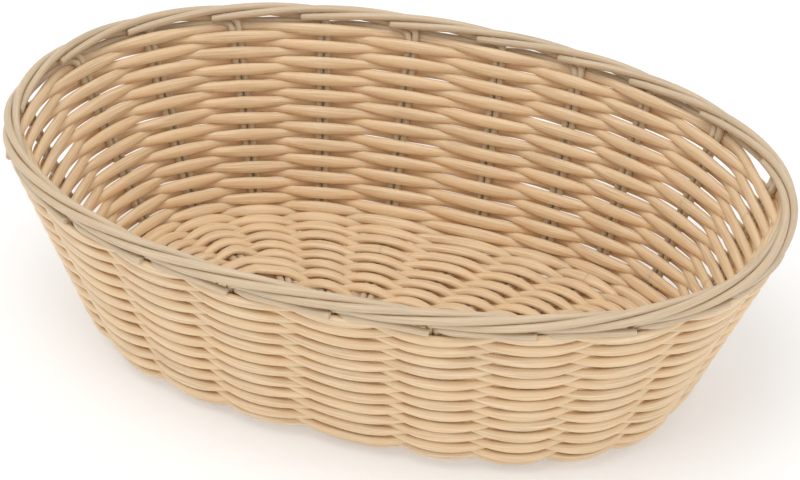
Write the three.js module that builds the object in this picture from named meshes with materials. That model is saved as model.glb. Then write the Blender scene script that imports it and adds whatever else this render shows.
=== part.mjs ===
// An oval bread basket, hand woven from round plastic cane.
// Pairs of stakes run in one length from the border on one side, down the wall, under the floor
// and up to the border on the other side. One strand of weaving runs round them in a spiral, in
// several spliced lengths. The ends of the stakes, all turned the same way, make the rolled border.
// Millimetres, +Z up, +X along the length. The origin is on the table under the middle.
import * as THREE from "three";

// The wall's middle surface: its outline at the floor and at the middle of the border.
const RIM = { halfLength: 112.3, halfWidth: 72.2, height: 64.3, power: 2.154 };
const FLOOR = { halfLength: 85.6, halfWidth: 51.4, power: 2.526 };

// Where the stakes stand, as shares of the way round from the -X end, through the front (-Y).
const STAKE_PLACES = [
  0.014, 0.06, 0.12, 0.17, 0.215, 0.265, 0.31, 0.358, 0.403, 0.45, 0.5,
  0.555, 0.608, 0.654, 0.694, 0.737, 0.783, 0.829, 0.875, 0.921, 0.963,
];
const STAKES = STAKE_PLACES.length;

// Cane: the stakes are drawn with a square section set on its corner, the weavers with a flat one.
const STAKE_RADIUS = 1.1;
const WEAVER_THICKNESS = 1.95;
const WEAVER_WIDTH = 1.6;
const PAIR_OFFSET = 1.3;

// Weaving: how far a weaver stands off the middle surface where it passes a stake.
const FLOOR_STAND_OFF = 3.3;
const WALL_STAND_OFF = 2.75;
const BOW_SHARE = 0.065;
const FLOOR_HEIGHT = FLOOR_STAND_OFF + WEAVER_THICKNESS / 2;

// Rows of weaving, counted outwards from the spine of the floor and then up the wall to the border.
const FLOOR_ROWS = 16.2;
const WALL_ROWS = 26.8;
const CORNER_ROWS = 3;
const CORNER_BEND = 0.7;
const FIRST_ROW = 0.85;
const TOP_ROW = 41.2;
const TOP_ROW_DIPS = [
  0, 0, 0.15, 0.05, 0, 0.1, 0.2, 0.05, 0, 0.05, 0.1, 0.15, 0.35, 0.15, 0, 0.1, 0, 0.15, 0.05, 0.15, 0.3,
];
const BUNDLED_ROWS = 6.2;

// The ends of the spiral's lengths, counted in passes by a stake. In its last round it is pushed
// down where it goes outside a stake, to let the border by.
const FLOOR_SPLICES = [3, 103, 205, 307];
const WALL_SPLICES = [307, 411, 515, 621, 725, 830];
const LAST_PASS = WALL_SPLICES[WALL_SPLICES.length - 1];
const PUSHED_DOWN = 0.5;

// The spine: short stakes cross it, long stakes run along it.
const CROSS_SPACING = 12.3;
const CROSS_COUNT = 7;
const SPINE_HALF_WIDTH = 10.2;
const SPINE_HALF_LENGTH = 47;
const LONG_SPACING = 2.3;
const CROSSING_OFFSET = 1.4;

// Border: a roll of strands that wind over the rim as they run round it.
const ROLL_RADIUS = 1.72;
const ROLL_TURN_PER_STAKE = THREE.MathUtils.degToRad(92);
const ROLL_START = THREE.MathUtils.degToRad(-71);
const ROLL_STAKES = 3.25;
const ROLL_STEP = 0.25;

const CANE_COLOUR = 0xd9b48a;
const STAKE_COLOUR = 0xc4ab8a;

const outlinePoint = (outline, angle, height) => {
  const along = Math.cos(angle);
  const across = Math.sin(angle);
  const power = 2 / outline.power;
  return new THREE.Vector3(
    outline.halfLength * Math.sign(along) * Math.abs(along) ** power,
    outline.halfWidth * Math.sign(across) * Math.abs(across) ** power,
    height,
  );
};

// Lengths along the rim, measured at equal steps of its angle from the -X end.
const RIM_SAMPLES = 1440;
const rimAngle = (i) => (2 * Math.PI * i) / RIM_SAMPLES - Math.PI;
const rimLengths = [0];
for (let i = 1; i <= RIM_SAMPLES; i += 1) {
  const here = outlinePoint(RIM, rimAngle(i), 0);
  const before = outlinePoint(RIM, rimAngle(i - 1), 0);
  rimLengths.push(rimLengths[i - 1] + here.distanceTo(before));
}

// The outline angle at a share of the way round the rim.
function angleAtShare(share) {
  const length = (share - Math.floor(share)) * rimLengths[RIM_SAMPLES];
  let low = 0;
  let high = RIM_SAMPLES;
  while (high - low > 1) {
    const middle = (low + high) >> 1;
    if (rimLengths[middle] <= length) low = middle;
    else high = middle;
  }
  const part = (length - rimLengths[low]) / (rimLengths[high] - rimLengths[low]);
  return rimAngle(low + part);
}

const wrapStake = (place) => ((place % STAKES) + STAKES) % STAKES;

// A place round the basket is counted in stakes: whole numbers are stakes.
function angleAtPlace(place) {
  const wrapped = wrapStake(place);
  const stake = Math.floor(wrapped);
  const next = stake + 1 < STAKES ? STAKE_PLACES[stake + 1] : STAKE_PLACES[0] + 1;
  return angleAtShare(THREE.MathUtils.lerp(STAKE_PLACES[stake], next, wrapped - stake));
}

// Stakes 2 to 8 stand in front and 12 to 18 behind. 0, 1 and 20 are at the -X end, and 9, 10 and 11
// at the +X end. Stake 19 is the odd one, which the spiral needs: it starts part of the way out.
const ODD_STAKE = 19;
const FRONT_FIRST = 2;
const BACK_LAST = 18;
const crossX = (i) => (i - (CROSS_COUNT - 1) / 2) * CROSS_SPACING;

function spinePoint(stake) {
  const point = new THREE.Vector3(0, 0, FLOOR_HEIGHT);
  const pairY = 2 * LONG_SPACING;
  if (stake >= FRONT_FIRST && stake < FRONT_FIRST + CROSS_COUNT) {
    return point.setX(crossX(stake - FRONT_FIRST)).setY(-SPINE_HALF_WIDTH);
  }
  if (stake > BACK_LAST - CROSS_COUNT && stake <= BACK_LAST) {
    return point.setX(crossX(BACK_LAST - stake)).setY(SPINE_HALF_WIDTH);
  }
  if (stake === ODD_STAKE) return point.setX(-SPINE_HALF_LENGTH + 3.5).setY(SPINE_HALF_WIDTH);
  const end = stake >= 9 && stake <= 11 ? 1 : -1;
  const side = { 1: -1, 9: -1, 0: 0, 10: 0, 11: 1, 20: 1 }[stake];
  return point.setX(end * SPINE_HALF_LENGTH).setY(side * pairY);
}

// A point of the middle surface at a place round the basket and a row out from the spine.
function surfacePoint(place, row) {
  const angle = angleAtPlace(place);
  const wrapped = wrapStake(place);
  const stake = Math.floor(wrapped);
  const spine = spinePoint(stake).lerp(spinePoint((stake + 1) % STAKES), wrapped - stake);
  const corner = outlinePoint(FLOOR, angle, FLOOR_HEIGHT);
  const rim = outlinePoint(RIM, angle, RIM.height);
  const onFloor = (r) => spine.clone().lerp(corner, r / FLOOR_ROWS);
  const onWall = (r) => corner.clone().lerp(rim, (r - FLOOR_ROWS) / WALL_ROWS);
  const turn = (row - FLOOR_ROWS + CORNER_ROWS) / (2 * CORNER_ROWS);
  if (turn <= 0) return onFloor(row);
  if (turn >= 1) return onWall(row);
  const before = onFloor(FLOOR_ROWS - CORNER_ROWS).lerp(corner, turn);
  const after = corner.clone().lerp(onWall(FLOOR_ROWS + CORNER_ROWS), turn);
  return before.lerp(after, turn);
}

// The directions round the basket, out from the spine, and out of the surface at a place and row.
function surfaceFrame(place, row) {
  const round = surfacePoint(place + 0.4, row).sub(surfacePoint(place - 0.4, row)).normalize();
  const out = surfacePoint(place, row + 0.1).sub(surfacePoint(place, row - 0.1)).normalize();
  const normal = round.clone().cross(out).normalize();
  return { round, out, normal };
}

// A path through given points, whose section keeps one side towards the given normals.
class StrandPath extends THREE.Curve {
  constructor(points, normals) {
    super();
    this.points = points;
    this.sides = normals;
  }

  getPointAt(share) {
    return this.points[Math.round(share * (this.points.length - 1))].clone();
  }

  computeFrenetFrames(steps) {
    const tangents = [];
    const normals = [];
    const binormals = [];
    for (let i = 0; i <= steps; i += 1) {
      const before = this.points[Math.max(i - 1, 0)];
      const after = this.points[Math.min(i + 1, steps)];
      const tangent = after.clone().sub(before).normalize();
      const binormal = tangent.clone().cross(this.sides[i]).normalize();
      tangents.push(tangent);
      binormals.push(binormal);
      normals.push(binormal.clone().cross(tangent).normalize());
    }
    return { tangents, normals, binormals };
  }
}

const corners = (list) => new THREE.Shape(list.map(([x, y]) => new THREE.Vector2(x, y)));
const THICK = WEAVER_THICKNESS / 2;
const WIDE = WEAVER_WIDTH / 2;
const WEAVER_SECTION = corners([[-THICK, -WIDE], [THICK, -WIDE], [THICK, WIDE], [-THICK, WIDE]]);
const STAKE_SECTION = corners([[-STAKE_RADIUS, 0], [0, -STAKE_RADIUS], [STAKE_RADIUS, 0], [0, STAKE_RADIUS]]);

function strand(name, section, points, normals, colour) {
  const path = new StrandPath(points, normals);
  const geometry = new THREE.ExtrudeGeometry(section, {
    steps: points.length - 1,
    extrudePath: path,
    curveSegments: 1,
  });
  const material = new THREE.MeshStandardMaterial({ color: colour, roughness: 0.5, metalness: 0 });
  const mesh = new THREE.Mesh(geometry, material);
  mesh.name = name;
  return mesh;
}

// How far the surface stands out at a stake from the straight line between its neighbours.
function bow(stake, row) {
  const chordMiddle = surfacePoint(stake - 1, row).lerp(surfacePoint(stake + 1, row), 0.5);
  return surfacePoint(stake, row).sub(chordMiddle).dot(surfaceFrame(stake, row).normal);
}

// Which side of the surface the weaver is on at a stake: 1 outside or below, -1 inside or above.
// Near the spine the long stakes lie together, and the weaver passes them as one.
function weaverSide(pass) {
  const stake = pass % STAKES;
  const row = FIRST_ROW + pass / STAKES;
  const bundled = row < BUNDLED_ROWS && (stake === 0 || stake === 10 || stake === ODD_STAKE);
  const side = pass % 2 === 0 ? 1 : -1;
  return bundled ? -side : side;
}

const lastPass = (stake) => LAST_PASS - wrapStake(LAST_PASS - stake);

// The row of the spiral at a pass. Up the wall the rows are spread so that the last one is nearly
// level: it dips a little under the border at each stake.
function rowOfPass(pass) {
  const row = FIRST_ROW + pass / STAKES;
  if (row < FLOOR_ROWS) return row;
  const stake = pass % STAKES;
  const last = FIRST_ROW + lastPass(stake) / STAKES;
  const top = TOP_ROW - TOP_ROW_DIPS[stake];
  const level = THREE.MathUtils.mapLinear(row, FLOOR_ROWS, last, FLOOR_ROWS, top);
  const isPushed = pass > LAST_PASS - STAKES && weaverSide(pass) > 0;
  return isPushed ? level - PUSHED_DOWN : level;
}

// One length of the spiral, from one pass by a stake to another.
function weaver(name, startPass, endPass, flatHalfWidth) {
  const points = [];
  const normals = [];
  for (let pass = startPass; pass <= endPass; pass += 1) {
    const row = rowOfPass(pass);
    const stake = pass % STAKES;
    const frame = surfaceFrame(stake, row);
    const onFloor = row < FLOOR_ROWS - CORNER_ROWS;
    const place = surfacePoint(stake, row);
    const side = weaverSide(pass);
    const standOff = onFloor ? FLOOR_STAND_OFF : WALL_STAND_OFF + side * BOW_SHARE * bow(stake, row);
    const middle = place.addScaledVector(frame.normal, side * standOff);
    const end = pass === startPass ? 1 : pass === endPass ? -1 : 0;
    const shifts = flatHalfWidth && !end ? [-flatHalfWidth, flatHalfWidth] : [end * 0.4];
    for (const shift of shifts) {
      points.push(middle.clone().addScaledVector(frame.round, shift));
      normals.push(frame.normal);
    }
  }
  return strand(name, WEAVER_SECTION, points, normals, CANE_COLOUR);
}

// A point of the border: out from the wall's middle surface and up from the roll's middle.
function borderPoint(place, out, up) {
  const angle = angleAtPlace(place);
  const rim = outlinePoint(RIM, angle, RIM.height);
  const rise = rim.clone().sub(outlinePoint(FLOOR, angle, FLOOR_HEIGHT)).normalize();
  const round = borderMiddle(place + 0.3).sub(borderMiddle(place - 0.3)).normalize();
  const normal = round.cross(rise).normalize();
  return {
    point: rim.addScaledVector(normal, out).addScaledVector(rise, up),
    normal: normal.clone().multiplyScalar(out).addScaledVector(rise, up).normalize(),
  };
}

const borderMiddle = (place) => outlinePoint(RIM, angleAtPlace(place), RIM.height);

// One end of a stake strand from the wall's top into the border, as points in order outwards.
// The left strand of a pair winds round the rim in the roll and is cut off inside. The right one
// comes out under the roll and runs along it to the next stake, where it is cut off just above
// the weaving.
function borderEnd(stake, isLeft) {
  const steps = [];
  if (isLeft) {
    steps.push([-0.049, 0, -5], [-0.038, 0.1, -3], [0.05, 0.8, -1.5]);
    for (let place = ROLL_STEP; place <= ROLL_STAKES; place += ROLL_STEP) {
      const turned = ROLL_START + ROLL_TURN_PER_STAKE * place;
      steps.push([place, ROLL_RADIUS * Math.cos(turned), ROLL_RADIUS * Math.sin(turned)]);
    }
  } else {
    steps.push([0.048, 0, -5.6], [0.066, 0.25, -4], [0.17, 1.9, -3.1], [0.5, 1.8, -3.1], [0.76, 2.2, -3.2]);
  }
  const points = steps.map(([shift, out, up]) => borderPoint(stake + shift, out, up));
  if (isLeft) return points;
  const isWeaverOutside = weaverSide(lastPass((stake + 1) % STAKES)) > 0;
  const row = TOP_ROW + (isWeaverOutside ? 0.75 : 0.2);
  const place = stake + 0.93;
  const { normal } = surfaceFrame(place, row);
  const point = surfacePoint(place, row).addScaledVector(normal, isWeaverOutside ? 2.85 : 2.3);
  return points.concat({ point, normal });
}

// One stake strand from the spine, or from a row of the floor, up the wall and into the border.
function stakeHalf(stake, isLeft, firstRow) {
  const side = isLeft ? -1 : 1;
  const corner = [-CORNER_ROWS, -CORNER_BEND, CORNER_BEND, CORNER_ROWS].map((step) => FLOOR_ROWS + step);
  const points = [firstRow, ...corner].map((row) => {
    const { out, normal } = surfaceFrame(stake, row);
    const across = out.cross(normal).normalize();
    const point = surfacePoint(stake, row).addScaledVector(across, side * PAIR_OFFSET);
    return { point, normal };
  });
  return points.concat(borderEnd(stake, isLeft));
}

function stakeStrand(name, points) {
  return strand(name, STAKE_SECTION, points.map((p) => p.point), points.map((p) => p.normal), STAKE_COLOUR);
}

const DOWN = new THREE.Vector3(0, 0, -1);
const floorPoint = (x, y, lift) => ({ point: new THREE.Vector3(x, y, FLOOR_HEIGHT + lift), normal: DOWN });

// A strand of a cross pair: it passes over or under all the long stakes together.
function crossStrand(i, isLeft) {
  const x = crossX(i) + (isLeft ? -PAIR_OFFSET : PAIR_OFFSET);
  const lift = i % 2 === 0 ? -CROSSING_OFFSET : CROSSING_OFFSET;
  const front = stakeHalf(FRONT_FIRST + i, isLeft, 0.4);
  const back = stakeHalf(BACK_LAST - i, !isLeft, 0.4);
  const inner = 3 * LONG_SPACING;
  const middle = [floorPoint(x, -inner, lift), floorPoint(x, inner, lift)];
  return stakeStrand(`cross_stake_${i + 1}${isLeft ? "a" : "b"}`, front.reverse().concat(middle, back));
}

// A strand of a long pair: it goes over and under the cross pairs in turn.
function longStrand(pair, isFront, startStake, endStake) {
  const y = (pair - 1) * 2 * LONG_SPACING + (isFront ? -LONG_SPACING / 2 : LONG_SPACING / 2);
  const start = stakeHalf(startStake, !isFront, 0.4);
  const end = stakeHalf(endStake, isFront, 0.4);
  const middle = [];
  for (let i = 0; i < CROSS_COUNT; i += 1) {
    middle.push(floorPoint(crossX(i), y, i % 2 === 0 ? CROSSING_OFFSET : -CROSSING_OFFSET));
  }
  return stakeStrand(`long_stake_${pair + 1}${isFront ? "a" : "b"}`, start.reverse().concat(middle, end));
}

const basket = new THREE.Group();

for (let i = 0; i < CROSS_COUNT; i += 1) {
  basket.add(crossStrand(i, true), crossStrand(i, false));
}

const LONG_ENDS = [[1, 9], [0, 10], [20, 11]];
LONG_ENDS.forEach(([startStake, endStake], pair) => {
  basket.add(longStrand(pair, true, startStake, endStake), longStrand(pair, false, startStake, endStake));
});

basket.add(
  stakeStrand("odd_stake_a", stakeHalf(ODD_STAKE, true, BUNDLED_ROWS)),
  stakeStrand("odd_stake_b", stakeHalf(ODD_STAKE, false, BUNDLED_ROWS)),
);

// The spiral is spliced where it passes inside a stake. One length of it is flat where it rests
// on the table.
const FLAT_HALF_WIDTH = 2.2;
FLOOR_SPLICES.slice(1).forEach((last, i) => {
  basket.add(weaver(`floor_weaver_${i + 1}`, FLOOR_SPLICES[i], last, i === 1 ? FLAT_HALF_WIDTH : 0));
});
WALL_SPLICES.slice(1).forEach((last, i) => {
  basket.add(weaver(`side_weaver_${i + 1}`, WALL_SPLICES[i], last, 0));
});

export default basket;
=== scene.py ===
"""An oval bread basket, woven from round plastic cane, strand by strand.

Every strand follows the route of its CAD node, with the same outlines, stakes, rows and border. It is
pulled tighter, because CAD keeps a gap between the strands. The routes are worked out in millimetres and
brought to metres by the size of the CAD box. Places round the basket are counted in stakes, from the -X
end through the front.
"""
import math

import bpy
import numpy as np
from mathutils import Matrix, Vector


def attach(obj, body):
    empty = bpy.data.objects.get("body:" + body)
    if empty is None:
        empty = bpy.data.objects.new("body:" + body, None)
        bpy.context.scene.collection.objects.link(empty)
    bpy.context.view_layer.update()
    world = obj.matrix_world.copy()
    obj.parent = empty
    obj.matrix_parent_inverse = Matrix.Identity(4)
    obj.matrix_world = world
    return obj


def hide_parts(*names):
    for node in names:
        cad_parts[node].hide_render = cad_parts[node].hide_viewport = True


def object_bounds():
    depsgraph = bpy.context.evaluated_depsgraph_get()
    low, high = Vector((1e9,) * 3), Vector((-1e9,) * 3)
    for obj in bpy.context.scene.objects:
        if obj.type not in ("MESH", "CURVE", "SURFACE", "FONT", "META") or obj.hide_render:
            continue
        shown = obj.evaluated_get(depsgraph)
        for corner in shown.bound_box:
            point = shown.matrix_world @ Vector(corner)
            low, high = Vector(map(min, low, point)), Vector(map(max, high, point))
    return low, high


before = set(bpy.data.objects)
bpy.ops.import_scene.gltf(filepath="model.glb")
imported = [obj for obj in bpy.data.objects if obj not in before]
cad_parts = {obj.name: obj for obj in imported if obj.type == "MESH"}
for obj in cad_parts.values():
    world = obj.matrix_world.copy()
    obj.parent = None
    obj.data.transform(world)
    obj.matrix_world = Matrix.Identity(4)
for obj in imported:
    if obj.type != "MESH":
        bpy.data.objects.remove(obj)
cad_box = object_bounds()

# The wall's middle surface: its outline at the floor and at the middle of the border, in millimetres.
RIM = {"half_length": 112.3, "half_width": 72.2, "height": 64.3, "power": 2.154}
FLOOR = {"half_length": 85.6, "half_width": 51.4, "power": 2.526}
OUTLINE_STEPS = 1440
DESIGN_LENGTH = 230.1
MM = (cad_box[1].x - cad_box[0].x) / DESIGN_LENGTH

# Where the stakes stand, as shares of the way round. The cross stakes begin at one place in front and end
# at one at the back, and each long pair has its places at the -X and the +X end.
STAKE_PLACES = [
    0.014, 0.06, 0.12, 0.17, 0.215, 0.265, 0.31, 0.358, 0.403, 0.45, 0.5,
    0.555, 0.608, 0.654, 0.694, 0.737, 0.783, 0.829, 0.875, 0.921, 0.963,
]
STAKES = len(STAKE_PLACES)
CROSS_COUNT = 7
FRONT_FIRST = 2
BACK_LAST = 18
LONG_PAIRS = [(1, 9), (0, 10), (20, 11)]
ODD_STAKE = 19

# Cane, in millimetres. A weaver is an oval between the stakes. Where it passes them it is pressed flat,
# and it spreads a little more on the outside. Weavers and stakes sink into each other a little.
STAKE_RADIUS = 1.03
BORDER_SWELL = 0.1
WEAVER_HALF_THICKNESS = 1.22
WEAVER_HALF_HEIGHT = 1.4
PRESSED_HALF_THICKNESS = 1.03
PRESSED_HALF_HEIGHT = 1.86
OUTSIDE_SPREAD = 0.28
SUNK_IN = 0.08
PAIR_OFFSET = 1.1
STAND_OFF = STAKE_RADIUS + PRESSED_HALF_THICKNESS - SUNK_IN
FLOOR_HEIGHT = STAND_OFF + PRESSED_HALF_THICKNESS

# The spine of the floor, where the cross stakes and the long stakes meet, in millimetres.
CROSS_SPACING = 12.3
LONG_SPACING = 2.3
SPINE_HALF_LENGTH = 47
SPINE_HALF_WIDTH = 10.2
ODD_STAKE_INSET = 3.5
CROSSING_OFFSET = 1.1
CROSSING_HALF_WIDTH = 2.6 * LONG_SPACING

# Rows of weaving, counted out from the spine and then up the wall. The corner between them is rounded.
FLOOR_ROWS = 16.2
WALL_ROWS = 26.8
CORNER_ROWS = 3
SPINE_ROW = 0.4
STAKE_ROWS = [7, 11, 13.2, 14.7, 16.2, 17.7, 19.2, 24, 30, 36]

# The spiral weaver. It passes one stake after another, and its lengths are spliced at these passes. In
# its first rows it takes the stakes of an end as bundles. Its top row is level but for dips at stakes.
FIRST_ROW = 0.85
BUNDLED_ROWS = 6.2
BUNDLED_STAKES = (*LONG_PAIRS[1], ODD_STAKE)
FLOOR_SPLICES = [3, 103, 205, 307]
WALL_SPLICES = [307, 411, 515, 621, 725, 830]
TOP_ROW = 41.2
TOP_ROW_DIPS = [
    0, 0, 0.15, 0.05, 0, 0.1, 0.2, 0.05, 0, 0.05, 0.1,
    0.1, 0.15, 0.1, 0, 0.1, 0, 0.15, 0.05, 0.1, 0.15,
]
PUSHED_DOWN = 0.25

# How the weaver crosses from side to side between two stakes, and how far it strays from its row, in
# rows. Each wave has a size, and in radians its turn from stake to stake and its start.
FLAT_SHARE = 0.06
CROSSING_EASE = 0.65
ROW_STRAY = 0.09
STRAY_WAVES = [(0.6, 1.31, 0.7), (0.5, 2.17, 0), (0.4, 0.41, 2)]

# Border. Its strands are placed by steps: stakes along, and millimetres out and up from the roll's
# middle. The left strand of a pair then winds in the roll, and the right one ends at the next stake,
# rows up and millimetres out of the surface, which depend on the side that the top row is on there.
ROLL_RADIUS = 1.61
ROLL_TURN_PER_STAKE = 92
ROLL_START = -71
ROLL_STAKES = 3.25
ROLL_STEPS_PER_STAKE = 8
LEFT_STEPS = [(-0.037, 0, -5.2), (-0.034, 0.05, -3.6), (-0.015, 0.3, -2.35), (0.03, 0.6, -1.68)]
RIGHT_STEPS = [
    (0.037, 0, -5.6), (0.04, 0.1, -4.4), (0.065, 0.6, -3.6), (0.12, 1.35, -3.15),
    (0.2, 1.85, -2.95), (0.35, 1.75, -3.0), (0.55, 1.7, -3.05), (0.76, 2.1, -3.15),
]
RIGHT_END_STAKES = 0.97
RIGHT_END_OVER_OUTSIDE = (0.75, 2.7)
RIGHT_END_OVER_INSIDE = (0.2, 2.2)

# A stake swells towards the border, from this far below the roll's middle and over this height.
SWELL_BELOW = 5
SWELL_OVER = 2.5

# Steps over which the surface's directions are taken, in stakes and rows.
PLACE_STEP = 0.4
BORDER_PLACE_STEP = 0.3
ROW_STEP = 0.1

# Meshes, in millimetres. A cut end is broken by a share of the cane's half thickness.
STRAND_STEP = 1.5
STRAND_SIDES = 14
STEPS_PER_PASS = 16
END_CHAMFER = 0.18
GRAIN_PER_MM = 0.02
GRAIN_SPREAD = 60

# Looks, as shares and metres.
SUBSURFACE = {"Weight": 0.5, "Scale": 0.0018, "Radius": (1.0, 0.8, 0.5)}
FLOOR_HALF_SIZE = 6.0
FLOOR_GREY = 0.7
FLOOR_ROUGHNESS = 0.9
FLOOR_GLOW = 0.32
WORLD_STRENGTH = 0.76
SENSOR_WIDTH = 36


# -------------------------------------------------------------------------------------------- surface

def unit(v):
    return v / np.linalg.norm(v, axis=-1, keepdims=True)


def mix(a, b, share):
    return a + (b - a) * np.asarray(share)[..., None]


def outline_point(outline, angle, height):
    along, across = np.cos(angle), np.sin(angle)
    power = 2 / outline["power"]
    x = outline["half_length"] * np.sign(along) * np.abs(along) ** power
    y = outline["half_width"] * np.sign(across) * np.abs(across) ** power
    return np.stack([x, y, np.full_like(x, height)], -1)


RIM_ANGLES = np.linspace(-math.pi, math.pi, OUTLINE_STEPS + 1)
RIM_STEPS = np.linalg.norm(np.diff(outline_point(RIM, RIM_ANGLES, 0.0), axis=0), axis=1)
RIM_LENGTHS = np.concatenate([[0], np.cumsum(RIM_STEPS)])


def round_basket(values, place):
    """Values that are given stake by stake, at places round the basket."""
    return np.interp(np.mod(place, STAKES), np.arange(STAKES + 1), values)


def angle_at_place(place):
    share = round_basket(STAKE_PLACES + [STAKE_PLACES[0] + 1], place)
    return np.interp(np.mod(share, 1) * RIM_LENGTHS[-1], RIM_LENGTHS, RIM_ANGLES)


def cross_x(i):
    return (i - (CROSS_COUNT - 1) / 2) * CROSS_SPACING


def spine_point(stake):
    """Where a pair of stakes leaves the spine of the floor."""
    if FRONT_FIRST <= stake < FRONT_FIRST + CROSS_COUNT:
        return [cross_x(stake - FRONT_FIRST), -SPINE_HALF_WIDTH, FLOOR_HEIGHT]
    if BACK_LAST - CROSS_COUNT < stake <= BACK_LAST:
        return [cross_x(BACK_LAST - stake), SPINE_HALF_WIDTH, FLOOR_HEIGHT]
    if stake == ODD_STAKE:
        return [ODD_STAKE_INSET - SPINE_HALF_LENGTH, SPINE_HALF_WIDTH, FLOOR_HEIGHT]
    pair = next(i for i, stakes in enumerate(LONG_PAIRS) if stake in stakes)
    end = -1 if stake == LONG_PAIRS[pair][0] else 1
    return [end * SPINE_HALF_LENGTH, (pair - 1) * 2 * LONG_SPACING, FLOOR_HEIGHT]


SPINE = np.array([spine_point(i % STAKES) for i in range(STAKES + 1)], float)


def surface_point(place, row):
    """Points of the middle surface at places round the basket and rows out from the spine."""
    place, row = np.broadcast_arrays(np.asarray(place, float), np.asarray(row, float))
    angle = angle_at_place(place)
    spine = np.stack([round_basket(column, place) for column in SPINE.T], -1)
    corner = outline_point(FLOOR, angle, FLOOR_HEIGHT)
    rim = outline_point(RIM, angle, RIM["height"])
    on_floor = mix(spine, corner, row / FLOOR_ROWS)
    on_wall = mix(corner, rim, (row - FLOOR_ROWS) / WALL_ROWS)
    turn = (row - FLOOR_ROWS + CORNER_ROWS) / (2 * CORNER_ROWS)
    turn_start = mix(spine, corner, np.full_like(row, 1 - CORNER_ROWS / FLOOR_ROWS))
    turn_end = mix(corner, rim, np.full_like(row, CORNER_ROWS / WALL_ROWS))
    rounded = mix(mix(turn_start, corner, turn), mix(corner, turn_end, turn), turn)
    point = np.where((turn <= 0)[..., None], on_floor, rounded)
    return np.where((turn >= 1)[..., None], on_wall, point)


def surface_frame(place, row):
    """Directions out from the spine, and out of the surface."""
    along = unit(surface_point(place + PLACE_STEP, row) - surface_point(place - PLACE_STEP, row))
    out = unit(surface_point(place, row + ROW_STEP) - surface_point(place, row - ROW_STEP))
    return out, unit(np.cross(along, out))


def border_point(place, out, up):
    """A point of the border: out from the wall's middle surface and up from the roll's middle."""
    angle = angle_at_place(place)
    rim = outline_point(RIM, angle, RIM["height"])
    rise = unit(rim - outline_point(FLOOR, angle, FLOOR_HEIGHT))
    ahead = outline_point(RIM, angle_at_place(place + BORDER_PLACE_STEP), RIM["height"])
    behind = outline_point(RIM, angle_at_place(place - BORDER_PLACE_STEP), RIM["height"])
    normal = unit(np.cross(unit(ahead - behind), rise))
    return rim + normal * out[..., None] + rise * up[..., None]


# ---------------------------------------------------------------------------------------------- paths

def path_lengths(path):
    """How far along the path each of its points is."""
    return np.concatenate([[0], np.cumsum(np.linalg.norm(np.diff(path, axis=0), axis=1))])


def even_path(line):
    """The same line with its points an even step apart; columns after the third go along with them."""
    lengths = path_lengths(line[:, :3])
    wanted = np.linspace(0, lengths[-1], max(int(round(lengths[-1] / STRAND_STEP)), 2) + 1)
    return np.stack([np.interp(wanted, lengths, column) for column in line.T], -1)


def smooth_path(points, per_span=14):
    """A Catmull-Rom curve through the points, spaced by the square root of their distance."""
    p = np.asarray(points, float)
    p = np.vstack([2 * p[0] - p[1], p, 2 * p[-1] - p[-2]])
    t = np.concatenate([[0], np.cumsum(np.sqrt(np.linalg.norm(np.diff(p, axis=0), axis=1)))])

    def between(first, second, start, end, at):
        return (first * (end - at) + second * (at - start)) / (end - start)

    line = []
    for i in range(1, len(p) - 2):
        s = np.linspace(t[i], t[i + 1], per_span, endpoint=False)[:, None]
        a = [between(p[k], p[k + 1], t[k], t[k + 1], s) for k in (i - 1, i, i + 1)]
        b = [between(a[k], a[k + 1], t[i + k - 1], t[i + k + 1], s) for k in (0, 1)]
        line.append(between(b[0], b[1], t[i], t[i + 1], s))
    line.append(p[-2:-1])
    return even_path(np.vstack(line))


def weaver_side(number):
    """Which side of the surface the weaver's pass is on: 1 outside or below, -1 inside or above."""
    bundled = FIRST_ROW + number / STAKES < BUNDLED_ROWS and number % STAKES in BUNDLED_STAKES
    side = 1 if number % 2 == 0 else -1
    return -side if bundled else side


def last_pass(stake):
    """The spiral's last pass by a stake."""
    end = WALL_SPLICES[-1]
    return end - (end - stake) % STAKES


LAST_ROWS = [FIRST_ROW + last_pass(i % STAKES) / STAKES for i in range(STAKES + 1)]


def levelled_row(share):
    """The row at a share of the spiral's passes, stretched so that its top is nearly level all round."""
    row = FIRST_ROW + share / STAKES
    last = round_basket(LAST_ROWS, share)
    top = TOP_ROW - round_basket(TOP_ROW_DIPS + TOP_ROW_DIPS[:1], share)
    level = FLOOR_ROWS + (row - FLOOR_ROWS) * (top - FLOOR_ROWS) / (last - FLOOR_ROWS)
    return np.where(row < FLOOR_ROWS, row, level)


def unevenness(share):
    """How far the hand-woven strand strays from its row, in rows."""
    return ROW_STRAY * sum(size * np.sin(rate * share + start) for size, rate, start in STRAY_WAVES)


def weaver_path(first, last):
    """One length of the spiral between two passes by stakes.

    Its columns are points, surface normals, how far it is pressed, and how far that is on the outside.
    """
    share = np.linspace(first, last, (last - first) * STEPS_PER_PASS + 1)
    sides = np.array([weaver_side(n) for n in range(first, last + 2)], float)
    before = np.floor(share).astype(int) - first
    part = np.clip((share - first - before - FLAT_SHARE) / (1 - 2 * FLAT_SHARE), 0, 1)
    ease = part - CROSSING_EASE * np.sin(2 * math.pi * part) / (2 * math.pi)
    side = sides[before] * (1 - ease) + sides[before + 1] * ease
    in_top_round = np.clip(share - WALL_SPLICES[-1] + STAKES, 0, 1)
    pushed_down = PUSHED_DOWN * np.maximum(side, 0) * in_top_round
    row = levelled_row(share) - pushed_down + unevenness(share)
    place = np.mod(share, STAKES)
    normal = surface_frame(place, row)[1]
    points = surface_point(place, row) + normal * (side * STAND_OFF)[:, None]
    pressed, outside = side ** 2, np.maximum(side, 0) ** 2
    return even_path(np.hstack([points, normal, pressed[:, None], outside[:, None]]))


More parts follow.
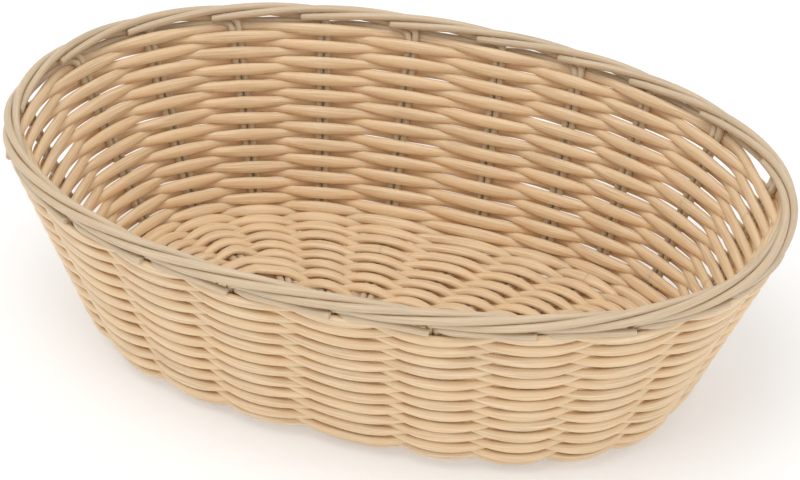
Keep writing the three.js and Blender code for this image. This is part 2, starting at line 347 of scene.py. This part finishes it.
def border_end(stake, is_left):
    """One end of a stake strand from the wall's top into the border.

    The left strand of a pair winds round the rim as part of the roll and is cut off inside. The right
    one comes out under the roll and runs along it to the next stake, where it is cut off.
    """
    steps = list(LEFT_STEPS if is_left else RIGHT_STEPS)
    if is_left:
        for i in range(1, int(ROLL_STEPS_PER_STAKE * ROLL_STAKES) + 1):
            along = i / ROLL_STEPS_PER_STAKE
            turned = math.radians(ROLL_START + ROLL_TURN_PER_STAKE * along)
            steps.append((along, ROLL_RADIUS * math.cos(turned), ROLL_RADIUS * math.sin(turned)))
    along, out, up = np.array(steps).T
    line = border_point(stake + along, out, up)
    if is_left:
        return line
    over_outside = weaver_side(last_pass((stake + 1) % STAKES)) > 0
    rows_up, out = RIGHT_END_OVER_OUTSIDE if over_outside else RIGHT_END_OVER_INSIDE
    place, row = np.array([stake + RIGHT_END_STAKES]), np.array([TOP_ROW + rows_up])
    end = surface_point(place, row) + surface_frame(place, row)[1] * out
    return np.vstack([line, end])


def stake_half(stake, is_left, first_row=SPINE_ROW):
    """One stake strand from the spine, or from a row of the floor, up the wall and into the border."""
    rows = np.array([first_row, *STAKE_ROWS])
    place = np.full_like(rows, stake)
    out, normal = surface_frame(place, rows)
    across = unit(np.cross(out, normal))
    line = surface_point(place, rows) + across * (-PAIR_OFFSET if is_left else PAIR_OFFSET)
    return np.vstack([line, border_end(stake, is_left)])


def crossing_lift(i):
    """How far above the long stakes' middle they pass the cross pair: over every other one."""
    return CROSSING_OFFSET if i % 2 == 0 else -CROSSING_OFFSET


def cross_strand(i, is_left):
    """A stake across the basket: up the front wall, under or over the long stakes, and up the back."""
    x = cross_x(i) + (-PAIR_OFFSET if is_left else PAIR_OFFSET)
    z = FLOOR_HEIGHT - crossing_lift(i)
    front = stake_half(FRONT_FIRST + i, is_left)
    back = stake_half(BACK_LAST - i, not is_left)
    middle = [[x, y, z] for y in (-CROSSING_HALF_WIDTH, 0, CROSSING_HALF_WIDTH)]
    return smooth_path(np.vstack([front[::-1], middle, back]))


def long_strand(pair, is_front):
    """A stake along the basket: up the wall at -X, over and under the cross stakes, and up at +X."""
    y = (pair - 1) * 2 * LONG_SPACING + (-LONG_SPACING if is_front else LONG_SPACING) / 2
    start_stake, end_stake = LONG_PAIRS[pair]
    start = stake_half(start_stake, not is_front)
    end = stake_half(end_stake, is_front)
    middle = [[cross_x(i), y, FLOOR_HEIGHT + crossing_lift(i)] for i in range(CROSS_COUNT)]
    return smooth_path(np.vstack([start[::-1], middle, end]))


# --------------------------------------------------------------------------------------------- meshes

def sweep_frames(line):
    """Two directions across the line at each point: along its normals, or carried without twist."""
    tangent = unit(np.gradient(line[:, :3], axis=0))
    if line.shape[1] > 3:
        other = unit(np.cross(tangent, line[:, 3:6]))
        return np.cross(other, tangent), other, tangent
    sides = [unit(np.cross(tangent[0], [0.0, 0.0, 1.0]))]
    for t in tangent[1:]:
        sides.append(unit(sides[-1] - t * np.dot(sides[-1], t)))
    sides = np.array(sides)
    return sides, np.cross(tangent, sides), tangent


def strand_section(line, half_thickness, half_height):
    """Half the cane's thickness and height at each point of its line."""
    if line.shape[1] > 3:
        pressed, outside = line[:, 6], line[:, 7]
        thick = half_thickness + (PRESSED_HALF_THICKNESS - half_thickness) * pressed
        high = half_height + (PRESSED_HALF_HEIGHT - half_height) * pressed + OUTSIDE_SPREAD * outside
        return thick, high
    in_border = np.clip((line[:, 2] - RIM["height"] + SWELL_BELOW) / SWELL_OVER, 0, 1)
    radius = half_thickness + BORDER_SWELL * in_border
    return radius, radius


def strand_faces(rings):
    """Four-sided faces between the rings, then three-sided ones that close the start and the end."""
    faces = []
    next_side = [(j + 1) % STRAND_SIDES for j in range(STRAND_SIDES)]
    for a in range(0, (rings - 1) * STRAND_SIDES, STRAND_SIDES):
        b = a + STRAND_SIDES
        faces += [(a + j, a + k, b + k, b + j) for j, k in enumerate(next_side)]
    start, end = rings * STRAND_SIDES, rings * STRAND_SIDES + 1
    last = (rings - 1) * STRAND_SIDES
    for j, k in enumerate(next_side):
        faces += [(start, k, j), (end, last + j, last + k)]
    return faces


def with_ends(values, change=0):
    """The same values with the first and the last once more, changed where the cut ends are broken."""
    return np.concatenate([values[:1] - change, values, values[-1:] - change])


def strand_mesh(name, line, half_thickness, half_height, seed):
    """A cane along a line, with its edges just broken at the two cut ends.

    Its "grain" attribute runs round the cane in X and Y and along it in Z, from a start of its own.
    """
    path = line[:, :3]
    side, other, tangent = sweep_frames(line)
    thick, high = strand_section(line, half_thickness, half_height)
    chamfer = END_CHAMFER * thick.min()
    centres = np.vstack([path[:1] - tangent[:1] * chamfer, path, path[-1:] + tangent[-1:] * chamfer])
    to_side = with_ends(side) * with_ends(thick, chamfer)[:, None]
    to_other = with_ends(other) * with_ends(high, chamfer)[:, None]
    angle = np.arange(STRAND_SIDES) * 2 * math.pi / STRAND_SIDES
    ring = to_side[:, None] * np.cos(angle)[:, None] + to_other[:, None] * np.sin(angle)[:, None]
    verts = np.vstack([(centres[:, None] + ring).reshape(-1, 3), centres[:1], centres[-1:]]) * MM
    rings = len(centres)
    faces = strand_faces(rings)
    mesh = bpy.data.meshes.new(name)
    mesh.from_pydata(verts.tolist(), [], faces)
    smooth = np.arange(len(faces)) < (rings - 1) * STRAND_SIDES
    mesh.polygons.foreach_set("use_smooth", smooth)
    grain = np.zeros((len(verts), 3), np.float32)
    lengths = with_ends(path_lengths(path)) * GRAIN_PER_MM
    grain[:-2, 0] = np.tile(np.cos(angle), rings)
    grain[:-2, 1] = np.tile(np.sin(angle), rings)
    grain[:-2, 2] = np.repeat(lengths, STRAND_SIDES)
    grain[-1, 2] = lengths[-1]
    grain += np.random.default_rng(seed).uniform(0, GRAIN_SPREAD, 3)
    mesh.attributes.new("grain", "FLOAT_VECTOR", "POINT").data.foreach_set("vector", grain.ravel())
    mesh.update()
    return mesh


def link_object(name, data):
    added = bpy.data.objects.new(name, data)
    bpy.context.scene.collection.objects.link(added)
    return added


# ------------------------------------------------------------------------------------------ materials

def add(nodes, kind, **inputs):
    node = nodes.new(kind)
    for key, value in inputs.items():
        node.inputs[key.replace("_", " ")].default_value = value
    return node


def add_colour_mix(nodes, **inputs):
    node = nodes.new("ShaderNodeMix")
    node.data_type = "RGBA"
    for key, colour in inputs.items():
        node.inputs[key].default_value = (*colour, 1)
    return node


def cane_material(name, light, dark, warm, roughness):
    """Extruded plastic cane: fine lines along the strand, slow changes of tone, a satin surface."""
    material = bpy.data.materials.new(name)
    material.use_nodes = True
    nodes, link = material.node_tree.nodes, material.node_tree.links.new
    shader = nodes["Principled BSDF"]
    grain = nodes.new("ShaderNodeAttribute")
    grain.attribute_name = "grain"
    lines = add(nodes, "ShaderNodeTexNoise", Scale=3.4, Detail=4.0, Roughness=0.6)
    link(grain.outputs["Vector"], lines.inputs["Vector"])
    stretched = add(nodes, "ShaderNodeMapping", Scale=(0.25, 0.25, 1.4))
    link(grain.outputs["Vector"], stretched.inputs["Vector"])
    blotches = add(nodes, "ShaderNodeTexNoise", Scale=1.0, Detail=2.0)
    link(stretched.outputs["Vector"], blotches.inputs["Vector"])

    line_share = add(nodes, "ShaderNodeMapRange", From_Min=0.38, From_Max=0.66)
    link(lines.outputs["Fac"], line_share.inputs["Value"])
    lined = add_colour_mix(nodes, A=dark, B=light)
    link(line_share.outputs["Result"], lined.inputs["Factor"])
    blotch_share = add(nodes, "ShaderNodeMapRange", From_Min=0.35, From_Max=0.7, To_Max=0.7)
    link(blotches.outputs["Fac"], blotch_share.inputs["Value"])
    toned = add_colour_mix(nodes, B=warm)
    link(lined.outputs["Result"], toned.inputs["A"])
    link(blotch_share.outputs["Result"], toned.inputs["Factor"])
    link(toned.outputs["Result"], shader.inputs["Base Color"])

    gloss = add(nodes, "ShaderNodeMapRange", To_Min=roughness - 0.07, To_Max=roughness + 0.1)
    link(lines.outputs["Fac"], gloss.inputs["Value"])
    link(gloss.outputs["Result"], shader.inputs["Roughness"])
    bump = add(nodes, "ShaderNodeBump", Strength=0.35, Distance=0.0002)
    link(lines.outputs["Fac"], bump.inputs["Height"])
    link(bump.outputs["Normal"], shader.inputs["Normal"])
    for key, value in SUBSURFACE.items():
        shader.inputs["Subsurface " + key].default_value = value
    return material


CANE = {
    "weaver_cane": cane_material(
        "weaver_cane",
        light=(0.88, 0.69, 0.47), dark=(0.66, 0.47, 0.28), warm=(0.84, 0.61, 0.37), roughness=0.39,
    ),
    "stake_cane": cane_material(
        "stake_cane",
        light=(0.70, 0.56, 0.40), dark=(0.51, 0.40, 0.27), warm=(0.64, 0.49, 0.33), roughness=0.38,
    ),
}


# --------------------------------------------------------------------------------------------- pieces

def add_strand(node, path, half_thickness, half_height, slot, seed):
    name = node + "_cane"
    piece = link_object(name, strand_mesh(name, path, half_thickness, half_height, seed))
    piece.data.materials.append(CANE[slot])
    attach(piece, "root")
    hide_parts(node)


def stake_strands():
    for i in range(CROSS_COUNT):
        yield f"cross_stake_{i + 1}a", cross_strand(i, True)
        yield f"cross_stake_{i + 1}b", cross_strand(i, False)
    for pair in range(len(LONG_PAIRS)):
        yield f"long_stake_{pair + 1}a", long_strand(pair, True)
        yield f"long_stake_{pair + 1}b", long_strand(pair, False)
    yield "odd_stake_a", smooth_path(stake_half(ODD_STAKE, True, BUNDLED_ROWS))
    yield "odd_stake_b", smooth_path(stake_half(ODD_STAKE, False, BUNDLED_ROWS))


def weaver_strands():
    for kind, splices in (("floor", FLOOR_SPLICES), ("side", WALL_SPLICES)):
        for i, (first, last) in enumerate(zip(splices, splices[1:])):
            yield f"{kind}_weaver_{i + 1}", weaver_path(first, last)


def make_basket():
    for seed, (node, path) in enumerate(stake_strands()):
        add_strand(node, path, STAKE_RADIUS, STAKE_RADIUS, "stake_cane", seed)
    for seed, (node, path) in enumerate(weaver_strands(), start=100):
        add_strand(node, path, WEAVER_HALF_THICKNESS, WEAVER_HALF_HEIGHT, "weaver_cane", seed)


# ---------------------------------------------------------------------------------- floor and lights

def make_floor():
    """A plain floor that glows a little, for the photo's pure white ground."""
    size, z = FLOOR_HALF_SIZE, cad_box[0].z
    corners = [(-size, -size, z), (size, -size, z), (size, size, z), (-size, size, z)]
    mesh = bpy.data.meshes.new("floor")
    mesh.from_pydata(corners, [], [(0, 1, 2, 3)])
    material = bpy.data.materials.new("floor")
    material.use_nodes = True
    shader = material.node_tree.nodes["Principled BSDF"]
    shader.inputs["Base Color"].default_value = (FLOOR_GREY, FLOOR_GREY, FLOOR_GREY, 1)
    shader.inputs["Roughness"].default_value = FLOOR_ROUGHNESS
    shader.inputs["Emission Color"].default_value = (1, 1, 1, 1)
    shader.inputs["Emission Strength"].default_value = FLOOR_GLOW
    mesh.materials.append(material)
    link_object("floor", mesh)


def area_light(name, location, size, power):
    """A round lamp that faces the origin, in metres and watts."""
    light = bpy.data.lights.new(name, "AREA")
    light.shape = "DISK"
    light.size = size
    light.energy = power
    lamp = link_object(name, light)
    lamp.location = location
    lamp.rotation_euler = (-Vector(location)).to_track_quat("-Z", "Y").to_euler()


def make_world():
    world = bpy.data.worlds.new("studio")
    world.use_nodes = True
    background = world.node_tree.nodes["Background"]
    background.inputs["Color"].default_value = (1, 1, 1, 1)
    background.inputs["Strength"].default_value = WORLD_STRENGTH
    bpy.context.scene.world = world


# --------------------------------------------------------------------------------------------- camera

def make_camera(azimuth, elevation, distance, right, up, roll, lens):
    """A camera that looks at a point off the origin by right and up, in metres across its view."""
    a, e = math.radians(azimuth), math.radians(elevation)
    back = Vector((math.sin(a) * math.cos(e), -math.cos(a) * math.cos(e), math.sin(e)))
    across = Vector((math.cos(a), math.sin(a), 0))
    upward = back.cross(across)
    data = bpy.data.cameras.new("camera")
    data.lens = lens
    data.sensor_width = SENSOR_WIDTH
    camera = link_object("camera", data)
    turned = Matrix.Rotation(math.radians(roll), 3, back)
    axes = Matrix((turned @ across, turned @ upward, back)).transposed()
    place = across * right + upward * up + back * distance
    camera.matrix_world = Matrix.Translation(place) @ axes.to_4x4()
    bpy.context.scene.camera = camera


make_basket()
make_floor()
area_light("key", location=(-0.15, -0.6, 1.85), size=1.4, power=14)
area_light("fill", location=(1.4, -1.0, 0.9), size=1.2, power=2)
make_world()
bpy.context.scene.view_settings.view_transform = "Standard"
make_camera(
    azimuth=19.16, elevation=34.42, distance=1.0225, right=0.0019, up=0.0298, roll=1.07, lens=157.7,
)
